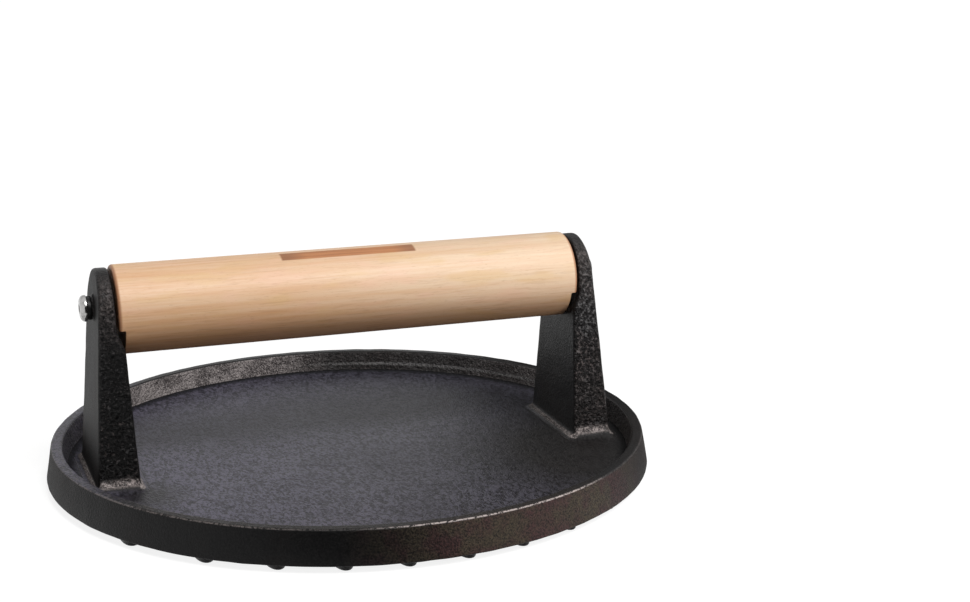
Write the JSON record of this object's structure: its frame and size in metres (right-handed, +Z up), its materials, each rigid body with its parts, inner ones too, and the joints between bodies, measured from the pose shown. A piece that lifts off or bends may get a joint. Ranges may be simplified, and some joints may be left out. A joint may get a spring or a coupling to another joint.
{
  "type": "burger press",
  "caption": "Round cast-iron press with a ribbed underside, a raised rim and two cast uprights that carry a wooden handle held by a screw at each end.",
  "frame": {"origin": "under the middle of the plate, on the plane of the rib tips that the press rests on", "axes": "+Z up, X along the handle from the left upright to the right one, Y along the ribs, -Y towards the picture's camera"},
  "size_m": [0.18, 0.18, 0.0665],
  "materials": {
    "cast_iron": "black seasoned casting, fine sand texture",
    "beech": "pale beech, sanded and oiled satin",
    "screw_steel": "bright polished steel",
    "washer_steel": "black oxide, slightly oily",
    "insert_brass": "plain turned brass"
  },
  "bodies": {
    "press": {"press_casting": "cast_iron", "wooden_handle": "beech", "threaded_insert_right": "insert_brass", "threaded_insert_left": "insert_brass"},
    "right_washer": {"spring_washer_right": "washer_steel"},
    "right_screw": {"handle_screw_right": "screw_steel"},
    "left_washer": {"spring_washer_left": "washer_steel"},
    "left_screw": {"handle_screw_left": "screw_steel"}
  },
  "joints": [
    {"name": "right_screw_travel", "type": "slide", "parent": "press", "child": "right_washer", "axis": [1, 0, 0], "range_m": [0, 0.0084]},
    {"name": "right_screw_turn", "type": "hinge", "parent": "right_washer", "child": "right_screw", "pos_m": [0.0761, 0, 0.0547], "axis": [1, 0, 0], "range_deg": [0, 4320]},
    {"name": "left_screw_travel", "type": "slide", "parent": "press", "child": "left_washer", "axis": [-1, 0, 0], "range_m": [0, 0.0084]},
    {"name": "left_screw_turn", "type": "hinge", "parent": "left_washer", "child": "left_screw", "pos_m": [-0.0761, 0, 0.0547], "axis": [-1, 0, 0], "range_deg": [0, 4320]}
  ],
  "couplings": [
    {"joint": "right_screw_turn", "follows": "right_screw_travel", "rad_per_m": 8975.9},
    {"joint": "left_screw_turn", "follows": "left_screw_travel", "rad_per_m": 8975.9}
  ]
}
